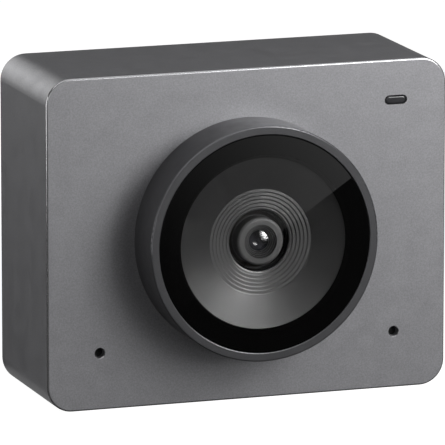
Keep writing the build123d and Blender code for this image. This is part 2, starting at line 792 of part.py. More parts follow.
# Sensor board
with BuildPart() as sensor_board:
    sensor_board_width = 2 * (sensor_screw_x + sensor_screw_edge)
    sensor_board_height = 2 * (can_half + sensor_board_rise)
    board_depths = (base_back, sensor_board_back)
    raise_blocks([(0, 0)], sensor_board_width, sensor_board_height, board_depths)
    raise_circles(sensor_screws_at, sensor_screw_radius + hole_gap, board_depths, Mode.SUBTRACT)
sensor_board.part.label = "sensor_board"
export_step(sensor_board.part, "parts/sensor_board.step")

# Sensor board screws, into the lens bracket
with BuildPart() as sensor_board_screws:
    shank_end = front_wall + head_recess
    head_end = sensor_board_back + tiny_head_thickness
    under_head = sensor_board_back
    add_screws(sensor_screws_at, shank_end, under_head, head_end, sensor_screw_radius, tiny_head_margin)
sensor_board_screws.part.label = "sensor_board_screws"
export_step(sensor_board_screws.part, "parts/sensor_board_screws.step")

# Lens bracket: a round plate that pulls the lens housing against the front wall
with BuildPart() as lens_bracket:
    bracket_depths = (front_wall, base_back)
    raise_circles([(0, 0)], bracket_radius, bracket_depths)
    bracket_window = 2 * (can_half + bracket_window_gap)
    raise_blocks([(0, 0)], bracket_window, bracket_window, bracket_depths, Mode.SUBTRACT)
    raise_circles(housing_screws_at, housing_screw_radius + hole_gap, bracket_depths, Mode.SUBTRACT)
    raise_circles(sensor_screws_at, sensor_screw_radius + thread_gap, bracket_depths, Mode.SUBTRACT)
lens_bracket.part.label = "lens_bracket"
export_step(lens_bracket.part, "parts/lens_bracket.step")

# Lens housing screws, through the bracket into the housing
with BuildPart() as lens_housing_screws:
    shank_end = front_wall - housing_screw_grip
    head_end = base_back + small_head_thickness
    add_screws(housing_screws_at, shank_end, base_back, head_end, housing_screw_radius, small_head_margin)
lens_housing_screws.part.label = "lens_housing_screws"
export_step(lens_housing_screws.part, "parts/lens_housing_screws.step")

# Main board, notched round the cover posts
with BuildPart() as main_board:
    with BuildSketch(face_plane(board_back)):
        with Locations((0, board_centre)):
            Rectangle(2 * board_half_width, board_height)
        with Locations(*cover_posts):
            Circle(cover_post_radius + board_post_gap, mode=Mode.SUBTRACT)
        with Locations(*board_screws_at):
            Circle(board_screw_radius + hole_gap, mode=Mode.SUBTRACT)
        with Locations(*heat_sink_feet):
            Circle(heat_sink_screw_radius + hole_gap, mode=Mode.SUBTRACT)
    extrude(amount=board_thickness)
main_board.part.label = "main_board"
export_step(main_board.part, "parts/main_board.step")

# Main board screws
with BuildPart() as main_board_screws:
    shank_end = board_back - board_screw_length
    head_end = board_back + small_head_thickness
    add_screws(board_screws_at, shank_end, board_back, head_end, board_screw_radius, small_head_margin)
main_board_screws.part.label = "main_board_screws"
export_step(main_board_screws.part, "parts/main_board_screws.step")

# Flat cable, folded in a U between the two boards, and its connectors
connector_place = [(0, -flex_connector_drop)]
with BuildPart() as flex_connectors:
    sensor_side = (sensor_board_back, sensor_board_back + flex_connector_thickness)
    board_side = (board_front - flex_connector_thickness, board_front)
    raise_blocks(connector_place, flex_connector_width, flex_connector_height, sensor_side)
    raise_blocks(connector_place, flex_connector_width, flex_connector_height, board_side)
flex_connectors.part.label = "flex_connectors"
export_step(flex_connectors.part, "parts/flex_connectors.step")

with BuildPart() as sensor_flex:
    flex_front = sum(sensor_side) / 2
    flex_back = sum(board_side) / 2
    flex_top = -flex_connector_drop - flex_connector_height / 2
    flex_turn = flex_top - flex_straight
    flex_bend = (flex_back - flex_front) / 2
    with BuildSketch(side_plane(-flex_width / 2)):
        with BuildLine():
            Line((flex_front, flex_top), (flex_front, flex_turn))
            CenterArc((flex_front + flex_bend, flex_turn), flex_bend, 180, 180)
            Line((flex_back, flex_turn), (flex_back, flex_top))
        trace(line_width=flex_thickness)
    extrude(amount=flex_width)
sensor_flex.part.label = "sensor_flex"
export_step(sensor_flex.part, "parts/sensor_flex.step")

# Image processor, thermal pad and heat sink
processor_place = [(0, processor_rise)]
with BuildPart() as image_processor:
    raise_blocks(processor_place, processor_size, processor_size, (board_back, processor_back))
image_processor.part.label = "image_processor"
export_step(image_processor.part, "parts/image_processor.step")

with BuildPart() as thermal_pad:
    raise_blocks(processor_place, processor_size, processor_size, (processor_back, pad_back))
thermal_pad.part.label = "thermal_pad"
export_step(thermal_pad.part, "parts/thermal_pad.step")

with BuildPart() as heat_sink:
    plate_back = pad_back + heat_sink_base
    raise_blocks(processor_place, heat_sink_width, heat_sink_height, (pad_back, plate_back))
    with BuildSketch(face_plane(fins_back)):
        with Locations(*processor_place):
            with GridLocations(vent_pitch, 0, vent_count + 1, 1):
                Rectangle(fin_thickness, heat_sink_height)
    extrude(amount=fins_back - plate_back)
    raise_circles(heat_sink_feet, heat_sink_foot_radius, (board_back, pad_back))
    foot_hole = (board_back, board_back + heat_sink_screw_grip + head_recess)
    raise_circles(heat_sink_feet, heat_sink_screw_radius + thread_gap, foot_hole, Mode.SUBTRACT)
heat_sink.part.label = "heat_sink"
export_step(heat_sink.part, "parts/heat_sink.step")

with BuildPart() as heat_sink_screws:
    shank_end = board_back + heat_sink_screw_grip
    head_end = board_front - small_head_thickness
    add_screws(heat_sink_feet, shank_end, board_front, head_end, heat_sink_screw_radius, small_head_margin)
heat_sink_screws.part.label = "heat_sink_screws"
export_step(heat_sink_screws.part, "parts/heat_sink_screws.step")

# Memory chip under its shield can
chip_column = heat_sink_width / 2 + shield_gap
memory_place = [(-chip_column - shield_width / 2, processor_rise)]
with BuildPart() as memory_chip:
    memory_width = shield_width - 2 * (shield_wall + memory_margin)
    memory_height = shield_height - 2 * (shield_wall + memory_margin)
    raise_blocks(memory_place, memory_width, memory_height, (board_back, board_back + memory_thickness))
memory_chip.part.label = "memory_chip"
export_step(memory_chip.part, "parts/memory_chip.step")

with BuildPart() as shield_can:
    raise_blocks(memory_place, shield_width, shield_height, (board_back, board_back + shield_rise))
    inner_width = shield_width - 2 * shield_wall
    inner_height = shield_height - 2 * shield_wall
    inner_depths = (board_back, board_back + shield_rise - shield_wall)
    raise_blocks(memory_place, inner_width, inner_height, inner_depths, Mode.SUBTRACT)
shield_can.part.label = "shield_can"
export_step(shield_can.part, "parts/shield_can.step")

# Flash chip above the clock crystal, on the other side of the heat sink
with BuildPart() as flash_chip:
    flash_place = [(chip_column + flash_width / 2, processor_rise + (flash_height + chip_row_gap) / 2)]
    raise_blocks(flash_place, flash_width, flash_height, (board_back, board_back + flash_thickness))
flash_chip.part.label = "flash_chip"
export_step(flash_chip.part, "parts/flash_chip.step")

with BuildPart() as clock_crystal:
    crystal_place = [(chip_column + flash_width / 2, processor_rise - (crystal_height + chip_row_gap) / 2)]
    raise_blocks(crystal_place, crystal_width, crystal_height, (board_back, board_back + crystal_thickness))
clock_crystal.part.label = "clock_crystal"
export_step(clock_crystal.part, "parts/clock_crystal.step")

# Power inductors and capacitors in a row on each side of the socket
with BuildPart() as power_inductors:
    first_x = usb_width / 2 + inductor_gap + inductor_size / 2
    inductor_places = [(first_x + index * inductor_pitch, usb_place[1]) for index in range(inductor_count)]
    inductor_depths = (board_back, board_back + inductor_thickness)
    raise_blocks(inductor_places, inductor_size, inductor_size, inductor_depths)
power_inductors.part.label = "power_inductors"
export_step(power_inductors.part, "parts/power_inductors.step")

with BuildPart() as board_capacitors:
    first_x = -usb_width / 2 - capacitor_gap - capacitor_width / 2
    capacitor_columns = range(capacitor_count)
    capacitor_places = [(first_x - column * capacitor_pitch, usb_place[1]) for column in capacitor_columns]
    capacitor_depths = (board_back, board_back + capacitor_width)
    raise_blocks(capacitor_places, capacitor_width, capacitor_length, capacitor_depths)
board_capacitors.part.label = "board_capacitors"
export_step(board_capacitors.part, "parts/board_capacitors.step")

# USB-C socket: a metal shell on the main board, and the moulded tongue inside it
with BuildPart() as usb_c_shell:
    usb_inner_width = usb_width - 2 * usb_shell_wall
    usb_inner_thickness = usb_thickness - 2 * usb_shell_wall
    raise_slots([usb_place], usb_width, usb_thickness, (board_back, usb_mouth))
    raise_slots([usb_place], usb_inner_width, usb_inner_thickness, (board_back, usb_mouth), Mode.SUBTRACT)
usb_c_shell.part.label = "usb_c_shell"
export_step(usb_c_shell.part, "parts/usb_c_shell.step")

with BuildPart() as usb_c_tongue:
    block_width = usb_inner_width - 2 * thread_gap
    block_thickness = usb_inner_thickness - 2 * thread_gap
    raise_slots([usb_place], block_width, block_thickness, (board_back, usb_cavity_floor))
    tongue_depths = (usb_cavity_floor, usb_mouth - usb_tongue_setback)
    raise_blocks([usb_place], usb_tongue_width, usb_tongue_thickness, tongue_depths)
usb_c_tongue.part.label = "usb_c_tongue"
export_step(usb_c_tongue.part, "parts/usb_c_tongue.step")

# Status light: a guide from the slot in the face back to its lamp on the main board
with BuildPart() as status_light_guide:
    raise_slots([status_place], status_length, status_thickness, (status_recess, status_guide_back))
    fillet(status_light_guide.faces().sort_by(Axis.Y)[0].edges(), status_edge_radius)
    flange_length = status_length + 2 * status_flange_margin
    flange_height = status_thickness + 2 * status_flange_margin
    flange_depths = (front_wall, front_wall + status_flange_thickness)
    raise_slots([status_place], flange_length, flange_height, flange_depths)
status_light_guide.part.label = "status_light_guide"
export_step(status_light_guide.part, "parts/status_light_guide.step")

with BuildPart() as status_lamp:
    raise_blocks([status_place], status_led_length, status_led_height, (status_led_front, board_front))
status_lamp.part.label = "status_lamp"
export_step(status_lamp.part, "parts/status_lamp.step")

# Microphones: mesh, seal, small board, chip and lead, one set behind each hole
with BuildPart() as microphone_meshes:
    raise_circles(microphone_places, pocket_piece_radius, (pocket_floor, mesh_back))
microphone_meshes.part.label = "microphone_meshes"
export_step(microphone_meshes.part, "parts/microphone_meshes.step")

with BuildPart() as microphone_seals:
    seal_depths = (mesh_back, seal_back)
    raise_circles(microphone_places, pocket_piece_radius, seal_depths)
    seal_bore = pocket_piece_radius - microphone_seal_wall
    raise_circles(microphone_places, seal_bore, seal_depths, Mode.SUBTRACT)
microphone_seals.part.label = "microphone_seals"
export_step(microphone_seals.part, "parts/microphone_seals.step")

with BuildPart() as microphone_boards:
    board_depths = (seal_back, microphone_board_back)
    board_places = [(x, z + microphone_board_lift) for x, z in microphone_places]
    raise_blocks(board_places, microphone_board_width, microphone_board_height, board_depths)
    raise_circles(microphone_places, microphone_port_radius, board_depths, Mode.SUBTRACT)
microphone_boards.part.label = "microphone_boards"
export_step(microphone_boards.part, "parts/microphone_boards.step")

with BuildPart() as microphones:
    chip_depths = (microphone_board_back, microphone_board_back + microphone_thickness)
    raise_blocks(microphone_places, microphone_width, microphone_height, chip_depths)
microphones.part.label = "microphones"
export_step(microphones.part, "parts/microphones.step")

lead_places = [(x, z + microphone_flex_height) for x, z in microphone_places]
with BuildPart() as microphone_connectors:
    near_depths = (microphone_board_back, microphone_connector_back)
    far_depths = (main_connector_front, board_front)
    raise_blocks(lead_places, microphone_connector_width, microphone_connector_height, near_depths)
    raise_blocks(lead_places, microphone_connector_width, microphone_connector_height, far_depths)
microphone_connectors.part.label = "microphone_connectors"
export_step(microphone_connectors.part, "parts/microphone_connectors.step")

with BuildPart() as microphone_leads:
    lead_depths = (microphone_connector_back, main_connector_front)
    raise_blocks(lead_places, microphone_flex_width, microphone_flex_thickness, lead_depths)
microphone_leads.part.label = "microphone_leads"
export_step(microphone_leads.part, "parts/microphone_leads.step")

# Tripod insert: a threaded metal bush pressed into the base
with BuildPart() as tripod_insert:
    with BuildSketch(tripod_plane):
        Circle(tripod_insert_radius)
        Circle(tripod_thread_radius, mode=Mode.SUBTRACT)
    extrude(amount=tripod_insert_length)
    mouth_edges = tripod_insert.edges().filter_by(GeomType.CIRCLE).group_by(Axis.Z)[0]
    chamfer(mouth_edges.sort_by(SortBy.RADIUS)[0], tripod_mouth_chamfer)
tripod_insert.part.label = "tripod_insert"
export_step(tripod_insert.part, "parts/tripod_insert.step")
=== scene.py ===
import json
from math import cos, radians, sin, tau

import bmesh
import bpy
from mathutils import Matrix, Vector


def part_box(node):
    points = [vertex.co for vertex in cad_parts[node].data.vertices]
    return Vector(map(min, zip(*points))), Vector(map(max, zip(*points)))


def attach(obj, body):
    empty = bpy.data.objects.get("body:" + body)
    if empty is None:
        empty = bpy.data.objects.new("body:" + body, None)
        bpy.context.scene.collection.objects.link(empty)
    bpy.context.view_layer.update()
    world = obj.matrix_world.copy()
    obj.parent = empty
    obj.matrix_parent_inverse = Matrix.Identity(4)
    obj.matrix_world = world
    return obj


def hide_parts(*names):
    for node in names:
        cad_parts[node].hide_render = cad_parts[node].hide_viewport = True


# The looks of a compact webcam: materials for its CAD pieces, a few finer pieces, studio, camera.
# All is in metres, in the CAD frame: X across the object, Y from the lens to the back, Z up.

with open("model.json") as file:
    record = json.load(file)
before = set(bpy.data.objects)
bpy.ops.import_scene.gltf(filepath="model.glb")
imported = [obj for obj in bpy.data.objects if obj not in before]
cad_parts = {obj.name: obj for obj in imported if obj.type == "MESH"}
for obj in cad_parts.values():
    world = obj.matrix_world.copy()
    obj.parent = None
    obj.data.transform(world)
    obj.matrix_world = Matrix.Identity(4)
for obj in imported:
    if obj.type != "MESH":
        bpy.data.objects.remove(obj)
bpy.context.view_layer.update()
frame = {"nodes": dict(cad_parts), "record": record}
nodes = frame["nodes"]

MM = 0.001
BODY = "camera_body"
WHITE = (1.0, 1.0, 1.0, 1.0)
RIGHT, UP = Vector((1, 0, 0)), Vector((0, 0, 1))

scene = bpy.context.scene
scene.view_settings.view_transform = "Standard"
collection = scene.collection

# Places that several sections use, read from the frame
body_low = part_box("front_shell")[0]
rim_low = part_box("lens_housing")[0]
glass_low, glass_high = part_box("cover_glass")
lens_centre = (glass_low + glass_high) / 2
lens_x, lens_z = lens_centre.x, lens_centre.z


# Camera, fitted to the photograph's straight edges and lens circles

VIEW_POINT = Vector((-0.00331, -0.00577, 0.02563))
VIEW_AZIMUTH = -18.98
VIEW_ELEVATION = 11.58
VIEW_DISTANCE = 0.965
FOCAL_LENGTH_MM = 548.2
SENSOR_WIDTH_MM = 36.0
CLIP_START = 0.01
CLIP_END = 20.0


def add_facing(thing, target, azimuth, elevation, distance):
    """Puts a camera or lamp at a distance from a point that it faces.

    The angles are in degrees; azimuth 0 is straight in front of the lens, 90 to the right.
    """
    level = cos(radians(elevation))
    away = Vector((
        level * sin(radians(azimuth)),
        -level * cos(radians(azimuth)),
        sin(radians(elevation)),
    ))
    thing.location = target + away * distance
    thing.rotation_mode = "QUATERNION"
    thing.rotation_quaternion = (-away).to_track_quat("-Z", "Y")
    collection.objects.link(thing)


def add_camera():
    """The photograph's camera: no shift and no depth of field."""
    data = bpy.data.cameras.new("photo_camera")
    data.lens = FOCAL_LENGTH_MM
    data.sensor_width = SENSOR_WIDTH_MM
    data.clip_start = CLIP_START
    data.clip_end = CLIP_END
    camera = bpy.data.objects.new("photo_camera", data)
    add_facing(camera, VIEW_POINT, VIEW_AZIMUTH, VIEW_ELEVATION, VIEW_DISTANCE)
    scene.camera = camera


add_camera()


# Shader building blocks

# The specular level of an ordinary surface
PLAIN_SPECULAR = 0.5

# Nearly all of a noise lies between these two levels
NOISE_LOW, NOISE_HIGH = 0.3, 0.7

# How many finer layers a noise has: a slow drift, an even grain and drawn lines
DRIFT_DETAIL, GRAIN_DETAIL, LINE_DETAIL = 2.0, 3.0, 4.0

# The rays that show a surface, and the rays that only carry light
SHOWING_RAYS = ("Is Camera Ray", "Is Glossy Ray", "Is Transmission Ray")
LIGHTING_RAYS = ("Is Shadow Ray", "Is Diffuse Ray")


def start_material(name, colour, roughness, metallic=0.0, specular=PLAIN_SPECULAR):
    """A material with its one shader's plain values set."""
    material = bpy.data.materials.new(name)
    material.use_nodes = True
    tree, shader = open_material(material)
    shader.inputs["Base Color"].default_value = (*colour, 1.0)
    shader.inputs["Roughness"].default_value = roughness
    shader.inputs["Metallic"].default_value = metallic
    shader.inputs["Specular IOR Level"].default_value = specular
    return material, tree, shader


def open_material(material):
    """A material's node tree and its one shader."""
    return material.node_tree, material.node_tree.nodes["Principled BSDF"]


def add_node(tree, kind, output, inputs, **settings):
    """Adds a node and gives one of its outputs; an input is another's output or a plain value."""
    node = tree.nodes.new(kind)
    for name, setting in settings.items():
        setattr(node, name, setting)
    for key, value in inputs.items():
        if isinstance(value, bpy.types.NodeSocket):
            tree.links.new(value, node.inputs[key])
        else:
            node.inputs[key].default_value = value
    return node.outputs[output]


def number_math(tree, operation, first, second, **settings):
    """A number worked out from two others."""
    numbers = {0: first, 1: second}
    return add_node(tree, "ShaderNodeMath", "Value", numbers, operation=operation, **settings)


def vector_math(tree, operation, *vectors, output="Vector"):
    """A vector worked out from one or two others, or a number where the output is Value."""
    inputs = dict(enumerate(vectors))
    return add_node(tree, "ShaderNodeVectorMath", output, inputs, operation=operation)


def remap(tree, value, low, high, start=0.0, end=1.0, **settings):
    """A number that runs from start to end, mapped to low and high and held there beyond."""
    inputs = {"Value": value, "From Min": start, "From Max": end, "To Min": low, "To Max": high}
    return add_node(tree, "ShaderNodeMapRange", "Result", inputs, **settings)


def any_ray(tree, kinds):
    """1 for rays of any of these kinds, and 0 for all others."""
    path = tree.nodes.new("ShaderNodeLightPath")
    found = path.outputs[kinds[0]]
    for kind in kinds[1:]:
        found = number_math(tree, "MAXIMUM", found, path.outputs[kind])
    return found


def point_place(tree):
    """Where a point of the surface lies, in the CAD frame at rest."""
    return tree.nodes.new("ShaderNodeTexCoord").outputs["Object"]


def point_depth(tree):
    """How far back a point of the surface lies: its y."""
    return add_node(tree, "ShaderNodeSeparateXYZ", "Y", {"Vector": point_place(tree)})


def axis_offset(tree):
    """Where a point lies, counted from the lens's axis: its x and z, with y at 0."""
    offset = vector_math(tree, "SUBTRACT", point_place(tree), (lens_x, 0, lens_z))
    return vector_math(tree, "MULTIPLY", offset, (1, 0, 1))


def axis_distance(tree):
    """How far a point lies from the lens's axis."""
    return vector_math(tree, "LENGTH", axis_offset(tree), output="Value")


def noise(tree, grain, detail=DRIFT_DETAIL, stretch=(1.0, 1.0, 1.0)):
    """Noise with spots about that many metres across."""
    scale = [share / grain for share in stretch]
    inputs = {"Vector": point_place(tree), "Scale": scale}
    place = add_node(tree, "ShaderNodeMapping", "Vector", inputs)
    inputs = {"Vector": place, "Scale": 1.0, "Detail": detail}
    return add_node(tree, "ShaderNodeTexNoise", "Fac", inputs)


def spread(tree, value, low, high):
    """A noise, mapped to low and high."""
    return remap(tree, value, low, high, start=NOISE_LOW, end=NOISE_HIGH)


def tint(tree, shader, value, dark, light):
    """Colours the shader between two colours by a noise."""
    ramp = tree.nodes.new("ShaderNodeValToRGB")
    ends = ((NOISE_LOW, dark), (NOISE_HIGH, light))
    for element, (position, colour) in zip(ramp.color_ramp.elements, ends):
        element.position = position
        element.color = (*colour, 1.0)
    tree.links.new(value, ramp.inputs["Fac"])
    tree.links.new(ramp.outputs["Color"], shader.inputs["Base Color"])


def shades(colour, share):
    """A darker and a lighter version of a colour."""
    return [c * (1 - share) for c in colour], [c * (1 + share) for c in colour]


def roughen(tree, shader, value, roughness, stray):
    """Lets the roughness stray up and down from its plain level by a noise."""
    level = spread(tree, value, roughness - stray, roughness + stray)
    tree.links.new(level, shader.inputs["Roughness"])


def bump(tree, shader, value, height):
    """Raises the surface by a noise, by that many metres at most."""
    normal = add_node(tree, "ShaderNodeBump", "Normal", {"Height": value, "Distance": height})
    tree.links.new(normal, shader.inputs["Normal"])


# Plain metals and plastics

# Blasted metal: how metallic it looks under its anodised skin, and how far its roughness strays,
# over how many grains
BLASTED_METALLIC = 0.6
BLASTED_STRAY = 0.03
BLASTED_DRIFT = 12


def blasted_metal(name, colour, roughness, grain, depth, mottle):
    """Bead-blasted and anodised metal: a fine even grain with a faint drift in its gloss."""
    material, tree, shader = start_material(name, colour, roughness, BLASTED_METALLIC)
    grains = noise(tree, grain, GRAIN_DETAIL)
    tint(tree, shader, grains, *shades(colour, mottle))
    roughen(tree, shader, noise(tree, grain * BLASTED_DRIFT), roughness, BLASTED_STRAY)
    bump(tree, shader, grains, depth)
    return material


# The polished edges of a blasted front: how far behind it they begin, and how metallic they look
EDGE_START = 0.015 * MM
EDGE_METALLIC = 0.8


def polish_front_edges(material, front, depth, colour, roughness):
    """Bare polished metal on the rounded edges of a flat front, from just behind it to a depth."""
    tree, shader = open_material(material)
    behind = number_math(tree, "GREATER_THAN", point_depth(tree), front + EDGE_START)
    before = number_math(tree, "LESS_THAN", point_depth(tree), front + depth)
    edge = number_math(tree, "MULTIPLY", behind, before)
    metal, gloss, tone = (shader.inputs[name] for name in ("Metallic", "Roughness", "Base Color"))
    tree.links.new(remap(tree, edge, metal.default_value, EDGE_METALLIC), metal)
    inputs = {"Factor": edge, "A": gloss.links[0].from_socket, "B": roughness}
    tree.links.new(add_node(tree, "ShaderNodeMix", "Result", inputs), gloss)
    inputs = {"Fac": edge, "Color1": tone.links[0].from_socket, "Color2": (*colour, 1.0)}
    tree.links.new(add_node(tree, "ShaderNodeMixRGB", "Color", inputs), tone)


# Rolled metal: its grain, which runs along Y, how deep it is, how far its tone and roughness stray
ROLLED_GRAIN = 0.12 * MM
ROLLED_STRETCH = (1.0, 0.04, 1.0)
ROLLED_DEPTH = 1.5e-6
ROLLED_MOTTLE = 0.15
ROLLED_STRAY = 0.06


def rolled_metal(name, colour, roughness):
    """Sheet, wire or turned metal, whose grain runs one way."""
    material, tree, shader = start_material(name, colour, roughness, metallic=1.0)
    lines = noise(tree, ROLLED_GRAIN, LINE_DETAIL, ROLLED_STRETCH)
    tint(tree, shader, lines, *shades(colour, ROLLED_MOTTLE))
    roughen(tree, shader, lines, roughness, ROLLED_STRAY)
    bump(tree, shader, lines, ROLLED_DEPTH)
    return material


# Moulded plastic: its grain, how deep it is, how far its tone and roughness stray, and over how
# many grains the roughness does
MOULDED_GRAIN = 0.25 * MM
MOULDED_DEPTH = 4e-6
MOULDED_MOTTLE = 0.12
MOULDED_STRAY = 0.04
MOULDED_DRIFT = 8


def moulded_plastic(name, colour, roughness, depth=MOULDED_DEPTH, specular=PLAIN_SPECULAR):
    """Plastic from a textured mould, or from a polished one where the depth is 0."""
    material, tree, shader = start_material(name, colour, roughness, specular=specular)
    grains = noise(tree, MOULDED_GRAIN, GRAIN_DETAIL)
    tint(tree, shader, grains, *shades(colour, MOULDED_MOTTLE))
    roughen(tree, shader, noise(tree, MOULDED_GRAIN * MOULDED_DRIFT), roughness, MOULDED_STRAY)
    if depth:
        bump(tree, shader, grains, depth)
    return material


# The baffle and the barrel, whose finish changes in rings round the lens's axis

# How far out the rings are told apart, how far their roughness strays, over what length, and their
# grain and its depth
RING_REACH = 9 * MM
RING_STRAY = 0.03
RING_DRIFT = 2 * MM
RING_GRAIN = 0.25 * MM
RING_DEPTH = 1e-6


def ringed_plastic(name, rings, beyond):
    """Black plastic in rings; a ring is its outer radius and its finish, and beyond is a finish.

    A finish is a tone, a roughness, a specular level and how far fine turned grooves spread the
    gloss outward.
    """
    material, tree, shader = start_material(name, (beyond[0],) * 3, beyond[1])
    starts = [0.0] + [radius / RING_REACH for radius, finish in rings]
    finishes = [finish for radius, finish in rings] + [beyond]
    ramp = tree.nodes.new("ShaderNodeValToRGB")
    ramp.color_ramp.interpolation = "CONSTANT"
    elements = ramp.color_ramp.elements
    elements.remove(elements[1])
    for start, finish in zip(starts, finishes):
        element = elements.new(start) if start else elements[0]
        element.color = finish
    share = number_math(tree, "DIVIDE", axis_distance(tree), RING_REACH)
    tree.links.new(share, ramp.inputs["Fac"])
    parts = tree.nodes.new("ShaderNodeSeparateColor")
    tree.links.new(ramp.outputs["Color"], parts.inputs["Color"])
    stray = spread(tree, noise(tree, RING_DRIFT), -RING_STRAY, RING_STRAY)
    rough = number_math(tree, "ADD", parts.outputs["Green"], stray)
    tree.links.new(parts.outputs["Red"], shader.inputs["Base Color"])
    tree.links.new(rough, shader.inputs["Roughness"])
    tree.links.new(parts.outputs["Blue"], shader.inputs["Specular IOR Level"])
    if any(grooves for *_, grooves in finishes):
        outward = vector_math(tree, "NORMALIZE", axis_offset(tree))
        tree.links.new(ramp.outputs["Alpha"], shader.inputs["Anisotropic"])
        tree.links.new(outward, shader.inputs["Tangent"])
    bump(tree, shader, noise(tree, RING_GRAIN, GRAIN_DETAIL), RING_DEPTH)
    return material


# The baffle's finishes: its treads, the risers between them, whose dark tone is painted shade, the
# lip of its opening, and the smooth cone outside them all
TREAD = (0.026, 0.5, 0.72, 0.75)
# Painted shade: the risers are darker than the treads, for the shade in the steps
RISER_SHADE = (0.006, 0.38, 0.7, 0.0)
LIP = (0.01, 0.33, 0.9, 0.0)
CONE = (0.002, 0.33, 0.7, 0.0)
STEP_COUNT = 6
STEPS_OUTER = 7.75 * MM
STEPS_INNER = 4.5 * MM
RISER_SHADE_WIDTH = 0.16 * MM
LIP_WIDTH = 0.2 * MM


def baffle_rings():
    """The baffle's rings from the opening outward."""
    rings = [(STEPS_INNER + LIP_WIDTH, LIP)]
    for step in range(STEP_COUNT, 0, -1):
        outer = STEPS_OUTER - (STEPS_OUTER - STEPS_INNER) * (step - 1) / STEP_COUNT
        rings += [(outer - RISER_SHADE_WIDTH, TREAD), (outer, RISER_SHADE)]
    return rings


# The barrel's finishes: its light trap and a painted highlight on the inner edge of each of the
# trap's steps, its face, its rounded edge, lighter partly as painted highlight, and its side
TRAP = (0.003, 0.42, 0.25, 0.0)
# Painted highlight: a lighter ring at the inner edge of each of the trap's steps
TRAP_EDGE_HIGHLIGHT = (0.03, 0.45, 0.35, 0.0)
BARREL_FACE = (0.045, 0.5, 0.4, 0.0)
# The rounded edge is lighter than the face, partly as painted highlight
BARREL_EDGE_AND_HIGHLIGHT = (0.052, 0.5, 0.4, 0.0)
BARREL_SIDE = (0.006, 0.6, 0.4, 0.0)
TRAP_STEPS = 4
TRAP_INNER = 1.5 * MM
TRAP_OUTER = 2.41 * MM
# The width of each painted highlight ring in the trap
TRAP_HIGHLIGHT_WIDTH = 0.07 * MM
FACE_OUTER = 3.0 * MM
EDGE_OUTER = 3.44 * MM


def barrel_rings():
    """The barrel's rings from the opening outward."""
    rings = []
    for step in range(TRAP_STEPS):
        inner = TRAP_INNER + (TRAP_OUTER - TRAP_INNER) * step / TRAP_STEPS
        rings += [(inner, TRAP), (inner + TRAP_HIGHLIGHT_WIDTH, TRAP_EDGE_HIGHLIGHT)]
    return rings + [(TRAP_OUTER, TRAP), (FACE_OUTER, BARREL_FACE), (EDGE_OUTER, BARREL_EDGE_AND_HIGHLIGHT)]


# Glass

# The front glass: its index, the radius outside which it shows only its black print, and its tone
WINDOW_INDEX = 1.8
BLACK_RADIUS = 12.85 * MM
BLACK_TONE = 0.0018


def clear_glass(name, index, colour=(1.0, 1.0, 1.0)):
    """Glass that bends what is seen through it and lets the lamps light what is behind it."""
    material, tree, shader = start_material(name, colour, 0.0)
    shader.inputs["IOR"].default_value = index
    shader.inputs["Transmission Weight"].default_value = 1.0
    clear = tree.nodes.new("ShaderNodeBsdfTransparent").outputs["BSDF"]
    inputs = {0: any_ray(tree, LIGHTING_RAYS), 1: shader.outputs["BSDF"], 2: clear}
    surface = add_node(tree, "ShaderNodeMixShader", "Shader", inputs)
    tree.links.new(surface, tree.nodes["Material Output"].inputs["Surface"])
    return material


def window_glass(name):
    """The front glass: clear inside its printed band and black at it, with no gloss on its back."""
    material = clear_glass(name, WINDOW_INDEX)
    tree, shader = open_material(material)
    clear = number_math(tree, "LESS_THAN", axis_distance(tree), BLACK_RADIUS)
    front = number_math(tree, "LESS_THAN", point_depth(tree), lens_centre.y)
    tree.links.new(clear, shader.inputs["Transmission Weight"])
    tree.links.new(remap(tree, clear, BLACK_TONE, 1.0), shader.inputs["Base Color"])
    tree.links.new(front, shader.inputs["Specular Tint"])
    return material


# The front element: its two tones, painted shade for the dark barrel behind it, and the size of
# their spots, its plain values and its coat's
ELEMENT_SHADE_DARK = (0.010, 0.010, 0.012)
ELEMENT_SHADE_PALE = (0.018, 0.018, 0.021)
ELEMENT_SPOT = 0.6 * MM
ELEMENT_DETAIL = 1.0
ELEMENT_ROUGHNESS = 0.04
ELEMENT_INDEX = 1.9
ELEMENT_COAT_ROUGHNESS = 0.03
ELEMENT_COAT_INDEX = 2.2

# The key light's two reflections in the front element. Each has its place beside the lens's axis
# and its bends per metre, along a line that falls to the right by the tilt and across it. Both
# show where the normal's x and z, with y at -1, are the aim.
GLINT_TILT = radians(36)
GLINT_AIM = (0.131, 0.31)
FRONT_GLINT = (0.97 * MM, 0.62 * MM)
FRONT_BENDS = (250.0, 400.0)
BACK_GLINT = (-0.60 * MM, -0.42 * MM)
BACK_BENDS = (-350.0, -1200.0)

# The patch of gloss round each: its middle, its level, its reach, and how far beyond it fades out
FRONT_GLOSS = (FRONT_GLINT, 1.0, 0.9 * MM, 0.3 * MM)
BACK_GLOSS = ((-0.48 * MM, -0.26 * MM), 0.25, 0.36 * MM, 0.08 * MM)


def curved_normal(tree, spot, bends):
    """The normal of a curved surface that reflects the key light at a spot."""
    away = vector_math(tree, "SUBTRACT", axis_offset(tree), (spot[0], 0, spot[1]))
    down, up = cos(GLINT_TILT), sin(GLINT_TILT)
    turns = []
    for bend, line in zip(bends, ((down, 0, -up), (up, 0, down))):
        run = vector_math(tree, "DOT_PRODUCT", away, line, output="Value")
        turns.append(vector_math(tree, "MULTIPLY", run, Vector(line) * bend))
    turn = vector_math(tree, "ADD", *turns)
    lean = vector_math(tree, "ADD", turn, (GLINT_AIM[0], -1, GLINT_AIM[1]))
    return vector_math(tree, "NORMALIZE", lean)


def near_spot(tree, spot, level, reach, fade):
    """The level within a reach of a spot beside the lens's axis, which fades to nothing beyond."""
    away = vector_math(tree, "DISTANCE", axis_offset(tree), (spot[0], 0, spot[1]), output="Value")
    return remap(tree, away, level, 0.0, reach, reach + fade, interpolation_type="SMOOTHSTEP")


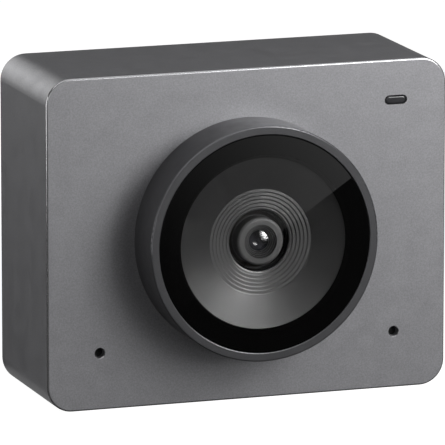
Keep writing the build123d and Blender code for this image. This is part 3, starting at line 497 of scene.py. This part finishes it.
def coated_lens(name):
    """The front element in painted shade: its front bulges out; its back, seen in gloss, bulges in.
    """
    material, tree, shader = start_material(name, ELEMENT_SHADE_DARK, ELEMENT_ROUGHNESS)
    tint(tree, shader, noise(tree, ELEMENT_SPOT, ELEMENT_DETAIL), ELEMENT_SHADE_DARK, ELEMENT_SHADE_PALE)
    shader.inputs["IOR"].default_value = ELEMENT_INDEX
    shader.inputs["Coat Weight"].default_value = 1.0
    shader.inputs["Coat Roughness"].default_value = ELEMENT_COAT_ROUGHNESS
    shader.inputs["Coat IOR"].default_value = ELEMENT_COAT_INDEX
    tree.links.new(curved_normal(tree, FRONT_GLINT, FRONT_BENDS), shader.inputs["Coat Normal"])
    tree.links.new(curved_normal(tree, BACK_GLINT, BACK_BENDS), shader.inputs["Normal"])
    tree.links.new(near_spot(tree, *FRONT_GLOSS), shader.inputs["Coat Weight"])
    tree.links.new(near_spot(tree, *BACK_GLOSS), shader.inputs["Specular IOR Level"])
    return material


# Materials, one for each slot of the record

# Colour, roughness, grain, its depth and mottle of the two blasted metals
SHELL = ((0.265, 0.264, 0.276), 0.42, 0.2 * MM, 5e-6, 0.14)
HOUSING = ((0.072, 0.072, 0.076), 0.38, 0.15 * MM, 2e-6, 0.05)

# Depth, colour and roughness of their polished edges
SHELL_EDGE = (0.29 * MM, (0.42, 0.42, 0.432), 0.18)
HOUSING_EDGE = (0.21 * MM, (0.12, 0.12, 0.126), 0.3)

# The glass of the inner lens elements and of the infrared filter
LENS_INDEX = 1.6
FILTER_INDEX = 1.5
FILTER_COLOUR = (0.75, 0.95, 0.90)

# Colour and roughness of the rolled metals
ROLLED_METALS = {
    "screw_steel": ((0.30, 0.30, 0.31), 0.35),
    "coil_copper": ((0.72, 0.33, 0.16), 0.3),
    "magnet_metal": ((0.55, 0.55, 0.54), 0.25),
    "spring_metal": ((0.012, 0.011, 0.010), 0.4),
    "can_steel": ((0.012, 0.012, 0.012), 0.45),
    "bracket_metal": ((0.60, 0.60, 0.60), 0.35),
    "heat_sink_metal": ((0.45, 0.45, 0.46), 0.4),
    "socket_steel": ((0.50, 0.50, 0.50), 0.3),
    # The weave's near-black tone is painted shade for the inside of the microphone holes
    "mesh_steel": ((0.03, 0.03, 0.03), 0.45),
    "insert_metal": ((0.42, 0.42, 0.42), 0.3),
}

# Colour and roughness of the moulded plastics and what looks like them; the polished ones have a
# texture depth of 0 as well, and the print behind the glass a specular level of 0
MOULDED_PLASTICS = {
    "cover_plastic": ((0.09, 0.09, 0.094), 0.5),
    "mask_black": ((0.002, 0.002, 0.002), 0.5, 0.0, 0.0),
    "soft_foam": ((0.02, 0.02, 0.02), 0.95),
    "carrier_plastic": ((0.006, 0.006, 0.006), 0.6),
    "sensor_face": ((0.05, 0.04, 0.09), 0.12, 0.0),
    "circuit_board": ((0.01, 0.07, 0.03), 0.35),
    "connector_plastic": ((0.02, 0.02, 0.02), 0.45),
    "flex_film": ((0.45, 0.20, 0.03), 0.3),
    "chip_plastic": ((0.015, 0.015, 0.016), 0.5),
    "pad_rubber": ((0.20, 0.22, 0.24), 0.8),
    "capacitor_ceramic": ((0.40, 0.28, 0.16), 0.5),
    "guide_plastic": ((0.02, 0.02, 0.022), 0.22, 0.0),
    "lamp_plastic": ((0.75, 0.74, 0.62), 0.3),
}


def make_materials():
    """Every slot's material, by the slot's name."""
    made = {
        "shell_metal": blasted_metal("shell_metal", *SHELL),
        "housing_metal": blasted_metal("housing_metal", *HOUSING),
        "cover_glass": window_glass("cover_glass"),
        "lens_glass": clear_glass("lens_glass", LENS_INDEX),
        "filter_glass": clear_glass("filter_glass", FILTER_INDEX, FILTER_COLOUR),
        "baffle_plastic": ringed_plastic("baffle_plastic", baffle_rings(), CONE),
        "barrel_plastic": ringed_plastic("barrel_plastic", barrel_rings(), BARREL_SIDE),
    }
    for name, look in ROLLED_METALS.items():
        made[name] = rolled_metal(name, *look)
    for name, look in MOULDED_PLASTICS.items():
        made[name] = moulded_plastic(name, *look)
    polish_front_edges(made["shell_metal"], body_low.y, *SHELL_EDGE)
    polish_front_edges(made["housing_metal"], rim_low.y, *HOUSING_EDGE)
    return made


materials = make_materials()


def dress_nodes():
    """Gives every CAD node the material of its slot."""
    for row in frame["record"]["subparts"]:
        slots = nodes[row["node"]].data.materials
        slots.clear()
        slots.append(materials[row["material_slot"]])
    # The front element is coated, and painted dark as painted shade for the dark inside of the
    # barrel
    nodes["front_lens"].data.materials[0] = coated_lens("coated_lens")


dress_nodes()


# Pieces made here

TURN_STEPS = 192
SHARP_ANGLE = radians(30)


def join_rings(shape, rings, closed=True):
    """Faces from each ring of points to the next; a closed ring's last point meets its first."""
    for ring, after in zip(rings, rings[1:]):
        for index in range(len(ring) if closed else len(ring) - 1):
            follow = (index + 1) % len(ring)
            shape.faces.new((ring[index], ring[follow], after[follow], after[index]))


def turn_outline(shape, outline, steps, centre):
    """Turns a closed outline of (depth, radius) points round an axis along Y."""
    rings = []
    for step in range(steps):
        angle = tau * step / steps
        x, z = cos(angle), sin(angle)
        rings.append([
            shape.verts.new((centre[0] + radius * x, depth, centre[1] + radius * z))
            for depth, radius in outline
        ])
    join_rings(shape, rings + rings[:1])


def take_mesh(name, shape):
    """A finished shape as a mesh."""
    mesh = bpy.data.meshes.new(name)
    shape.to_mesh(mesh)
    shape.free()
    return mesh


def add_piece(name, shape, slot, stands_for=None):
    """Puts a finished solid in the scene with a slot's material, perhaps in place of a CAD node."""
    bmesh.ops.recalc_face_normals(shape, faces=shape.faces)
    mesh = take_mesh(name, shape)
    mesh.materials.append(materials[slot])
    mesh.shade_smooth()
    mesh.set_sharp_from_angle(angle=SHARP_ANGLE)
    piece = bpy.data.objects.new(name, mesh)
    collection.objects.link(piece)
    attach(piece, BODY)
    if stands_for:
        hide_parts(stands_for)


# The clear window inside the printed band, and the black coat that wraps the glass's edge
WINDOW_RADIUS = 12.35 * MM
MASK_GAP = 0.01 * MM
COAT_INSET = 0.1 * MM
COAT_PROUD = 0.02 * MM


def add_mask():
    """The printed band, a hair behind the glass, with the black coat round the glass's edge."""
    low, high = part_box("glass_mask")
    glass_radius = (glass_high.x - glass_low.x) / 2
    coat_inner, coat_outer = glass_radius - COAT_INSET, glass_radius + COAT_PROUD
    front = low.y + MASK_GAP
    outline = [
        (front, WINDOW_RADIUS),
        (front, coat_inner),
        (glass_low.y + COAT_PROUD, coat_inner),
        (glass_low.y + COAT_PROUD, coat_outer),
        (high.y, coat_outer),
        (high.y, WINDOW_RADIUS),
    ]
    shape = bmesh.new()
    turn_outline(shape, outline, TURN_STEPS, (lens_x, lens_z))
    add_piece("printed_band", shape, "mask_black", "glass_mask")


add_mask()


# The 1/4 inch tripod thread: 20 turns to the inch, with its bore's flat quarter and its root's flat
# eighth. A corner of its profile is a share of the pitch and of the thread's depth.
THREAD_PITCH = 1.27 * MM
THREAD_MINOR = 2.55 * MM
THREAD_MAJOR = 3.175 * MM
THREAD_MOUTH = 0.4 * MM
THREAD_CORNERS = [(0.0, 0.0), (0.25, 0.0), (0.5625, 1.0), (0.6875, 1.0), (1.0, 0.0)]
THREAD_ROWS = 16
THREAD_COLUMNS = 96
THREAD_SPARE_TURNS = 3
THREAD_MERGE = 1e-7


def thread_radius(height, share):
    """The bore's radius at a height above the mouth, in a direction given as a share of a turn."""
    phase = (height / THREAD_PITCH - share) % 1.0
    for (start, low), (end, high) in zip(THREAD_CORNERS, THREAD_CORNERS[1:]):
        if phase <= end:
            cut = low + (high - low) * (phase - start) / (end - start)
            break
    radius = THREAD_MINOR + (THREAD_MAJOR - THREAD_MINOR) * cut
    return max(radius, THREAD_MINOR + THREAD_MOUTH - height)


def add_tripod_thread():
    """The tripod bush with its thread cut in the bore: rows follow the helix, columns go round."""
    low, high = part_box("tripod_insert")
    middle = (low + high) / 2
    length = high.z - low.z
    outer = (high.x - low.x) / 2
    shape = bmesh.new()

    def add_point(radius, height, share):
        angle = tau * share
        place = (middle.x + radius * cos(angle), middle.y + radius * sin(angle), low.z + height)
        return shape.verts.new(place)

    turns = int(length / THREAD_PITCH) + THREAD_SPARE_TURNS
    rows = [(row / THREAD_ROWS - 1) * THREAD_PITCH for row in range(turns * THREAD_ROWS + 1)]
    bore, rim = [], []
    for column in range(THREAD_COLUMNS):
        share = column / THREAD_COLUMNS
        heights = [min(max(row + THREAD_PITCH * share, 0.0), length) for row in rows]
        bore.append([add_point(thread_radius(height, share), height, share) for height in heights])
        rim.append([add_point(outer, 0.0, share), add_point(outer, length, share)])
    for column in range(THREAD_COLUMNS):
        here, after = bore[column], bore[(column + 1) % THREAD_COLUMNS]
        # The last column meets the first one turn higher up
        lift = THREAD_ROWS if column == THREAD_COLUMNS - 1 else 0
        for row in range(len(rows) - 1 - lift):
            shape.faces.new((here[row], here[row + 1], after[row + 1 + lift], after[row + lift]))
        edge, next_edge = rim[column], rim[(column + 1) % THREAD_COLUMNS]
        shape.faces.new((edge[0], next_edge[0], next_edge[1], edge[1]))
        shape.faces.new((edge[0], here[0], after[lift], next_edge[0]))
        shape.faces.new((edge[1], next_edge[1], after[-1], here[-1 - lift]))
    bmesh.ops.remove_doubles(shape, verts=shape.verts, dist=THREAD_MERGE)
    add_piece("threaded_bush", shape, "insert_metal", "tripod_insert")


add_tripod_thread()


# The socket's contacts: two rows of twelve, half a millimetre apart
CONTACT_COUNT = 12
CONTACT_PITCH = 0.5 * MM
CONTACT_WIDTH = 0.27 * MM
CONTACT_LENGTH = 4.6 * MM
CONTACT_SETBACK = 0.7 * MM
CONTACT_HEIGHT = 0.04 * MM
CONTACT_SINK = 0.02 * MM
CONTACT_NOSE = 0.12 * MM
TONGUE_HALF = 0.35 * MM


def add_contacts():
    """Flat contacts with sloped noses, on both sides of the socket's tongue."""
    low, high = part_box("usb_c_tongue")
    middle = (low + high) / 2
    tip = high.y - CONTACT_SETBACK
    shape = bmesh.new()
    for side in (-1, 1):
        base = middle.z + side * (TONGUE_HALF - CONTACT_SINK)
        crest = middle.z + side * (TONGUE_HALF + CONTACT_HEIGHT)
        profile = [
            (tip - CONTACT_LENGTH, base),
            (tip - CONTACT_LENGTH, crest),
            (tip - CONTACT_NOSE, crest),
            (tip, base),
        ]
        for index in range(CONTACT_COUNT):
            x = middle.x + (index - (CONTACT_COUNT - 1) / 2) * CONTACT_PITCH
            left, right = (
                [shape.verts.new((x + reach, y, z)) for y, z in profile]
                for reach in (-CONTACT_WIDTH / 2, CONTACT_WIDTH / 2)
            )
            shape.faces.new(left)
            shape.faces.new(right[::-1])
            join_rings(shape, [right, left])
    add_piece("socket_contacts", shape, "coil_copper")


add_contacts()


# The woven mesh behind each microphone hole
WEAVE_PITCH = 0.17 * MM
WEAVE_WIRE = 0.075 * MM
WEAVE_REACH = 1.2 * MM
WEAVE_RIM = 1.1 * MM
WEAVE_RIM_STEPS = 48
WEAVE_LINES = range(-int(WEAVE_REACH / WEAVE_PITCH), int(WEAVE_REACH / WEAVE_PITCH) + 1)
WIRE_CORNERS = ((-1, -1), (1, -1), (1, 1), (-1, 1))


def add_wire(shape, points, across):
    """A square wire through points; across is its side's direction in the mesh's plane."""
    half = WEAVE_WIRE / 2
    rings = []
    for point in points:
        rings.append([
            shape.verts.new(point + across * (half * side) + Vector((0, half * level, 0)))
            for side, level in WIRE_CORNERS
        ])
    join_rings(shape, rings)
    shape.faces.new(rings[0])
    shape.faces.new(rings[-1][::-1])


def wire_points(centre, along, across, line, wave):
    """The points of a wire, over and under those it crosses, as far as the weave reaches."""
    points = []
    for knot in WEAVE_LINES:
        if (line**2 + knot**2) * WEAVE_PITCH**2 <= WEAVE_REACH**2:
            level = wave * (-1) ** (line + knot)
            spot = along * (knot * WEAVE_PITCH) + across * (line * WEAVE_PITCH)
            points.append(Vector((centre.x, centre.y + level, centre.z)) + spot)
    return points


def add_weave():
    """Wires that pass over and under each other, in a flat rim, one disc behind each hole."""
    low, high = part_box("microphone_meshes")
    radius = (high.z - low.z) / 2
    middle = (low + high) / 2
    wave = (high.y - low.y - WEAVE_WIRE) / 2
    rim = [(low.y, WEAVE_RIM), (low.y, radius), (high.y, radius), (high.y, WEAVE_RIM)]
    # The left disc stands for the node that holds both
    discs = (("left", low.x + radius, "microphone_meshes"), ("right", high.x - radius, None))
    for side, x, stands_for in discs:
        shape = bmesh.new()
        turn_outline(shape, rim, WEAVE_RIM_STEPS, (x, middle.z))
        centre = Vector((x, middle.y, middle.z))
        for along, across, swing in ((RIGHT, UP, wave), (UP, RIGHT, -wave)):
            for line in WEAVE_LINES:
                points = wire_points(centre, along, across, line, swing)
                if len(points) > 1:
                    add_wire(shape, points, across)
        add_piece(f"microphone_weave_{side}", shape, "mesh_steel", stands_for)


add_weave()


# Studio

# The floor lies just under the base, and the paper that gloss mirrors just over the floor
FLOOR_DROP = 0.04 * MM
PAPER_DROP = 0.02 * MM

FLOOR_COLOUR = (0.3, 0.3, 0.3)
FLOOR_ROUGHNESS = 0.9
FLOOR_GLOW = 0.96
FLOOR_RADIUS = 6.0
FLOOR_STEPS = 96


def add_floor():
    """A plain matt floor that the object stands on; it glows pale where it is seen."""
    material, tree, shader = start_material("floor", FLOOR_COLOUR, FLOOR_ROUGHNESS, specular=0.0)
    shader.inputs["Emission Color"].default_value = WHITE
    glow = remap(tree, any_ray(tree, SHOWING_RAYS), 0.0, FLOOR_GLOW)
    tree.links.new(glow, shader.inputs["Emission Strength"])
    shape = bmesh.new()
    bmesh.ops.create_circle(shape, cap_ends=True, radius=FLOOR_RADIUS, segments=FLOOR_STEPS)
    mesh = take_mesh("floor", shape)
    mesh.materials.append(material)
    floor = bpy.data.objects.new("floor", mesh)
    floor.location.z = body_low.z - FLOOR_DROP
    collection.objects.link(floor)


CARD_COLOUR = (0.004, 0.004, 0.004)
CARD_ROUGHNESS = 1.0
CARD_GRAIN = 40 * MM
CARD_MOTTLE = 0.05


def card_material(name, glow):
    """A dark matt card that may glow."""
    material, tree, shader = start_material(name, CARD_COLOUR, CARD_ROUGHNESS, specular=0.0)
    tint(tree, shader, noise(tree, CARD_GRAIN), *shades(CARD_COLOUR, CARD_MOTTLE))
    shader.inputs["Emission Color"].default_value = WHITE
    shader.inputs["Emission Strength"].default_value = glow
    # The normal of what lies behind the glass, so that the renderer can smooth the two together
    facing = add_node(tree, "ShaderNodeCombineXYZ", "Vector", {"Y": -1.0})
    tree.links.new(facing, shader.inputs["Normal"])
    return material


def add_card(name, mesh, material):
    """A card that only gloss shows, as a photographer sets one just outside the picture."""
    mesh.materials.append(material)
    card = bpy.data.objects.new(name, mesh)
    collection.objects.link(card)
    card.visible_camera = False
    card.visible_diffuse = False
    card.visible_shadow = False


def add_flat_card(name, places, material):
    """A card with four corners."""
    mesh = bpy.data.meshes.new(name)
    mesh.from_pydata([tuple(place) for place in places], [], [(0, 1, 2, 3)])
    add_card(name, mesh, material)


# The bowl of dark paper: its radius and height, and the bend between its floor and its wall
BOWL_RADIUS = 0.75
BOWL_RISE = 0.85
BOWL_BEND = 0.2
BEND_STEPS = 12
BOWL_STEPS = 96
BOWL_MERGE = 1e-6


def add_dark_bowl():
    """Black paper round the set, open above, so that glass and dark metal have it to mirror."""
    profile = [(0.0, 0.0), (BOWL_RADIUS - BOWL_BEND, 0.0)]
    for step in range(1, BEND_STEPS + 1):
        angle = radians(90) * step / BEND_STEPS
        radius = BOWL_RADIUS - BOWL_BEND * (1 - sin(angle))
        profile.append((radius, BOWL_BEND * (1 - cos(angle))))
    profile.append((BOWL_RADIUS, BOWL_RISE))
    base = body_low.z - PAPER_DROP
    shape = bmesh.new()
    rings = []
    for step in range(BOWL_STEPS):
        angle = tau * step / BOWL_STEPS
        x, y = cos(angle), sin(angle)
        rings.append([
            shape.verts.new((radius * x, radius * y, base + rise)) for radius, rise in profile
        ])
    join_rings(shape, rings + rings[:1], closed=False)
    bmesh.ops.remove_doubles(shape, verts=shape.verts, dist=BOWL_MERGE)
    add_card("dark_bowl", take_mesh("dark_bowl", shape), card_material("dark_paper", 0.0))


# The light strip as it lies across the glass: its edge's angle, counter-clockwise from the right,
# half its length, its height over the floor, its glow and how fast that fades
STRIP_ANGLE = radians(34)
STRIP_HALF = 17 * MM
STRIP_HEIGHT = 1 * MM
STRIP_LEVEL = 0.315
STRIP_FADE = 1.6


def mirrored_on_floor(x, z, height):
    """Where the photograph's camera sees a height over the floor mirrored in the glass.

    The place on the glass is x and z from the lens's axis.
    """
    eye = scene.camera.location.copy()
    eye.y = 2 * glass_low.y - eye.y
    point = Vector((lens_x + x, glass_low.y, lens_z + z))
    ray = point - eye
    return point + ray * ((point.z - body_low.z - height) / -ray.z)


def add_light_strip():
    """A pale card on the dark paper, whose straight edge the glass mirrors; it fades lengthwise."""
    right = Vector((cos(STRIP_ANGLE), sin(STRIP_ANGLE))) * STRIP_HALF
    left = -right
    across = Vector((-sin(STRIP_ANGLE), cos(STRIP_ANGLE))) * STRIP_HALF
    outline = [right, left, left + across, right + across]
    places = [mirrored_on_floor(corner.x, corner.y, STRIP_HEIGHT) for corner in outline]
    material = card_material("pale_card", 1.0)
    tree, shader = open_material(material)
    far, near = places[0], places[1]
    end = (places[3] - far).normalized()
    run = far - near
    run -= end * run.dot(end)
    position = tree.nodes.new("ShaderNodeNewGeometry").outputs["Position"]
    share = run / run.length_squared
    place = vector_math(tree, "DOT_PRODUCT", position, share, output="Value")
    offset = number_math(tree, "SUBTRACT", place, near.dot(run) / run.length_squared)
    fade = number_math(tree, "POWER", offset, STRIP_FADE, use_clamp=True)
    level = number_math(tree, "MULTIPLY", fade, STRIP_LEVEL)
    tree.links.new(level, shader.inputs["Emission Strength"])
    add_flat_card("light_strip", places, material)


# The pale card beside the base: how far it reaches out from it, under it, forward and back
SIDE_CARD_REACH = 2.5 * MM
SIDE_CARD_UNDER = 4 * MM
SIDE_CARD_FRONT = 5 * MM
SIDE_CARD_BACK = 20 * MM
SIDE_CARD_LEVEL = 0.28


def add_side_card():
    """A pale card on the dark paper, left of the base, for the shell's lower corner to mirror."""
    left, right = body_low.x - SIDE_CARD_REACH, body_low.x + SIDE_CARD_UNDER
    front, back = -SIDE_CARD_FRONT, SIDE_CARD_BACK
    height = body_low.z - PAPER_DROP / 2
    outline = [(left, front), (right, front), (right, back), (left, back)]
    places = [(x, y, height) for x, y in outline]
    add_flat_card("side_card", places, card_material("side_card", SIDE_CARD_LEVEL))


# How strongly the world lights matt surfaces
AMBIENT = 0.05


def set_world():
    """White where the camera, metal or glass sees it, and a plain ambient level elsewhere."""
    world = bpy.data.worlds.new("studio")
    world.use_nodes = True
    scene.world = world
    tree = world.node_tree
    background = tree.nodes["Background"]
    background.inputs["Color"].default_value = WHITE
    level = remap(tree, any_ray(tree, SHOWING_RAYS), AMBIENT, 1.0)
    tree.links.new(level, background.inputs["Strength"])


# The soft lamps, which face the middle of the front: azimuth and elevation in degrees, distance,
# watts, and the lamp's side as a share of its distance
LIT_POINT = Vector((0, -0.01, 0.024))
LAMPS = {
    "key_light": (35, 19, 0.45, 0.91, 0.5),
    "near_light": (45, 33, 0.18, 0.24, 0.5),
    "high_light": (22, 33, 0.18, 0.034, 0.5),
    "front_light": (22, 8, 0.45, 0.20, 0.5),
    "fill_light": (-30, 8, 0.45, 0.221, 0.5),
    "left_light": (-100, 8, 0.18, 0.085, 0.5),
    "back_light": (-165, 8, 0.45, 0.269, 0.5),
    "high_back_light": (-168, 19, 0.45, 0.134, 0.5),
    "edge_light": (-59, 46, 0.45, 0.08, 0.25),
}


def add_lamp(name, azimuth, elevation, distance, watts, share):
    """A square soft light that the camera doesn't see."""
    data = bpy.data.lights.new(name, "AREA")
    data.size = share * distance
    data.energy = watts
    lamp = bpy.data.objects.new(name, data)
    lamp.visible_camera = False
    add_facing(lamp, LIT_POINT, azimuth, elevation, distance)


add_floor()
add_dark_bowl()
add_light_strip()
add_side_card()
set_world()
for lamp_name, setting in LAMPS.items():
    add_lamp(lamp_name, *setting)
